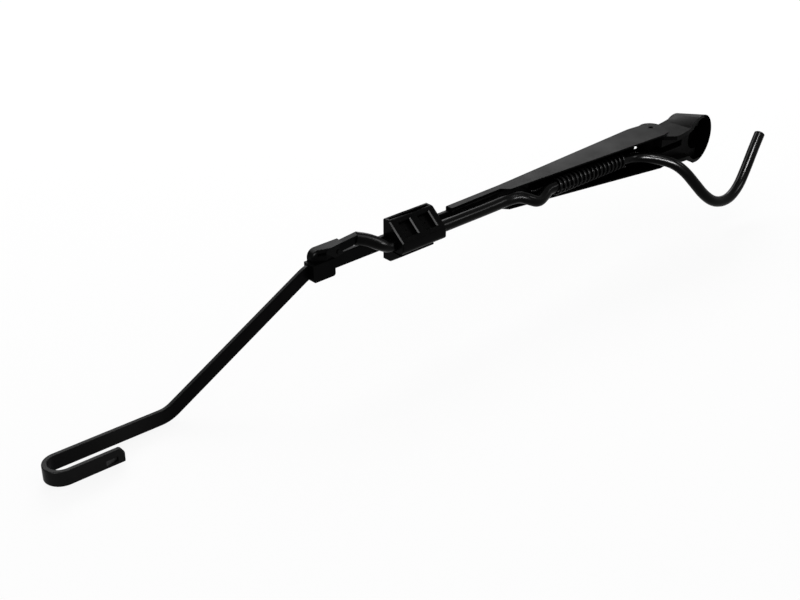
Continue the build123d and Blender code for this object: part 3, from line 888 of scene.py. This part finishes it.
@dataclass
class SprayBlock(SubAssembly):
    """The spray block on the bar, with its shoe and its jets."""

    block_edge: float = 0.8
    block_shortest: float = 4.0
    block_rings: int = 1
    chip_edge: float = 0.1

    def build(self) -> None:
        """Builds the block, the shoe and the jet chips."""
        for node in ("spray_block", "block_shoe"):
            piece = self.plain_copy(node, self.block_edge, rings=self.block_rings,
                                    shortest=self.block_shortest)
            self.take_over(piece, node, MOULDED, Slot.PLASTIC)
            self.line(piece, BACK_PAINTED_SHEEN_MOULDED, self.is_outer)
        chips = self.plain_copy("jet_chips", self.chip_edge)
        self.take_over(chips, "jet_chips", JET_MOULDED, Slot.JET)


@dataclass
class EndNozzle(SubAssembly):
    """The nozzle clipped on the bar's bend, with its connector and its feed."""

    shell_edge: float = 0.7
    shell_shortest: float = 3.0
    shell_rings: int = 2
    jet_edge: float = 0.08
    hose_fold: float = 50.0

    def build(self) -> None:
        """Builds the nozzle, its connector, its jet and the short hose."""
        for node in ("end_nozzle", "end_connector"):
            piece = self.plain_copy(node, self.shell_edge, rings=self.shell_rings,
                                    shortest=self.shell_shortest)
            self.take_over(piece, node, MOULDED, Slot.PLASTIC)
            self.line(piece, BACK_PAINTED_SHEEN_MOULDED, self.is_outer)
        jet = self.plain_copy("end_jet", self.jet_edge)
        self.take_over(jet, "end_jet", JET_MOULDED, Slot.JET)
        feed = self.plain_copy("link_hose", 0.0, fold=self.hose_fold)
        self.take_over(feed, "link_hose", SMOOTH_RUBBER, Slot.RUBBER)


@dataclass
class WasherHose:
    """The washer hose: from the spray block, through the spring, to its cut end."""

    radius: float = 4.1
    bore: float = 2.5
    length: float = 368.0
    round_steps: int = 7
    run_steps: int = 10
    mouth_len: float = 6.0
    mouth_edge: float = 0.25
    mouth_sides: int = 40
    mouth_fold: float = 30.0
    route: tuple[Point, ...] = (
        (-264.3, 6.8, 0.0), (-237.1, 6.8, 0.0), (-210.3, 7.0, -0.1), (-196.6, 6.7, 0.4),
        (-187.6, 3.4, 1.9), (-182.0, -0.3, -0.4), (-174.4, -2.6, -4.0), (-166.5, -0.7, -2.6),
        (-161.0, 1.1, -0.2), (-152.0, 0.8, 0.1), (-140.0, 0.77, 0.0), (-121.0, 0.74, 0.0),
        (-97.0, 0.75, 0.0), (-80.0, 0.78, -0.4), (-69.0, 0.8, -1.4), (-59.8, -3.6, -1.6),
        (-52.5, -11.6, -2.6), (-45.3, -20.0, -5.2), (-38.3, -26.3, -11.8), (-29.8, -31.2, -22.9),
        (-20.3, -34.8, -34.1), (-8.0, -37.3, -42.4), (8.2, -38.0, -44.5), (23.6, -36.0, -39.3),
        (36.1, -33.0, -28.9), (46.9, -30.4, -17.1), (54.4, -28.6, -10.2),
    )

    def mouth(self) -> bpy.types.Object:
        """Turns the hose's open end: a short tube with an eased rim and a deep bore.

        Returns:
            The open end, in line with the hose's last run.
        """
        last, before = metres(self.route[-1]), metres(self.route[-2])
        rim = self.mouth_len - self.mouth_edge
        outline = [
            (self.radius, 0.0), (self.radius, rim), (self.radius - self.mouth_edge, self.mouth_len),
            (self.bore + self.mouth_edge, self.mouth_len), (self.bore, rim),
            (self.bore, self.mouth_edge), (0.0, self.mouth_edge),
        ]
        mesh = bmesh.new()
        corners = [mesh.verts.new((across * MM, 0.0, along * MM)) for across, along in outline]
        runs = [mesh.edges.new(pair) for pair in zip(corners, corners[1:])]
        bmesh.ops.spin(mesh, geom=corners + runs, cent=(0.0, 0.0, 0.0), axis=(0.0, 0.0, 1.0),
                       angle=math.tau, steps=self.mouth_sides, use_merge=True)
        bmesh.ops.remove_doubles(mesh, verts=mesh.verts, dist=CUT_WITHIN * MM)
        bmesh.ops.recalc_face_normals(mesh, faces=mesh.faces)
        turn = (last - before).to_track_quat("Z", "Y").to_matrix().to_4x4()
        bmesh.ops.transform(mesh, matrix=Matrix.Translation(last) @ turn, verts=mesh.verts)
        way = (last - before).normalized()
        inner = (self.bore + self.mouth_edge) * MM
        for face in mesh.faces:
            face.smooth = True
            out = face.calc_center_median() - last
            # Faces of the bore take the painted shade.
            face.material_index = int((out - way * out.dot(way)).length < inner)
        for line in mesh.edges:
            line.smooth = line.calc_face_angle(0.0) < math.radians(self.mouth_fold)
        end = stand("hose_mouth", mesh)
        for finish in (SMOOTH_RUBBER, BORE_PAINTED_SHADE):
            end.data.materials.append(finish.material())
        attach(end, Body.ARM.value)
        LOG.info("piece %s", end.name)
        return end

    def build(self) -> None:
        data = bpy.data.curves.new("washer_hose", "CURVE")
        data.dimensions = "3D"
        data.bevel_depth = self.radius * MM
        data.bevel_resolution = self.round_steps
        data.resolution_u = self.run_steps
        data.use_fill_caps = True
        line = data.splines.new("NURBS")
        line.points.add(len(self.route) - 1)
        for knot, point in zip(line.points, self.route):
            knot.co = (*metres(point), 1.0)
        line.order_u = 3
        line.use_endpoint_u = True
        hose = bpy.data.objects.new("washer_hose", data)
        bpy.context.scene.collection.objects.link(hose)
        data.materials.append(SMOOTH_RUBBER.material())
        dress_node("hose", SMOOTH_RUBBER)
        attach(hose, Body.ARM.value)
        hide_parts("hose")
        self.mouth()
        LOG.info("piece %s", hose.name)


def main() -> None:
    """Builds the studio and the arm."""
    logging.basicConfig(level=logging.INFO, format="%(name)s: %(message)s")
    studio = Studio()
    studio.build()
    for part in (CastHead(), PressedRetainer(), HookBar(), PullSpring(), SprayBlock(), EndNozzle(),
                 WasherHose()):
        part.build()
    studio.keep_to(("front_gleam", "top_gleam"), ("washer_hose", "hose_mouth"))
    studio.keep_to(("link_softbox", "link_gleam"), ("link_hose_eased",))


if __name__ == "__main__":
    main()
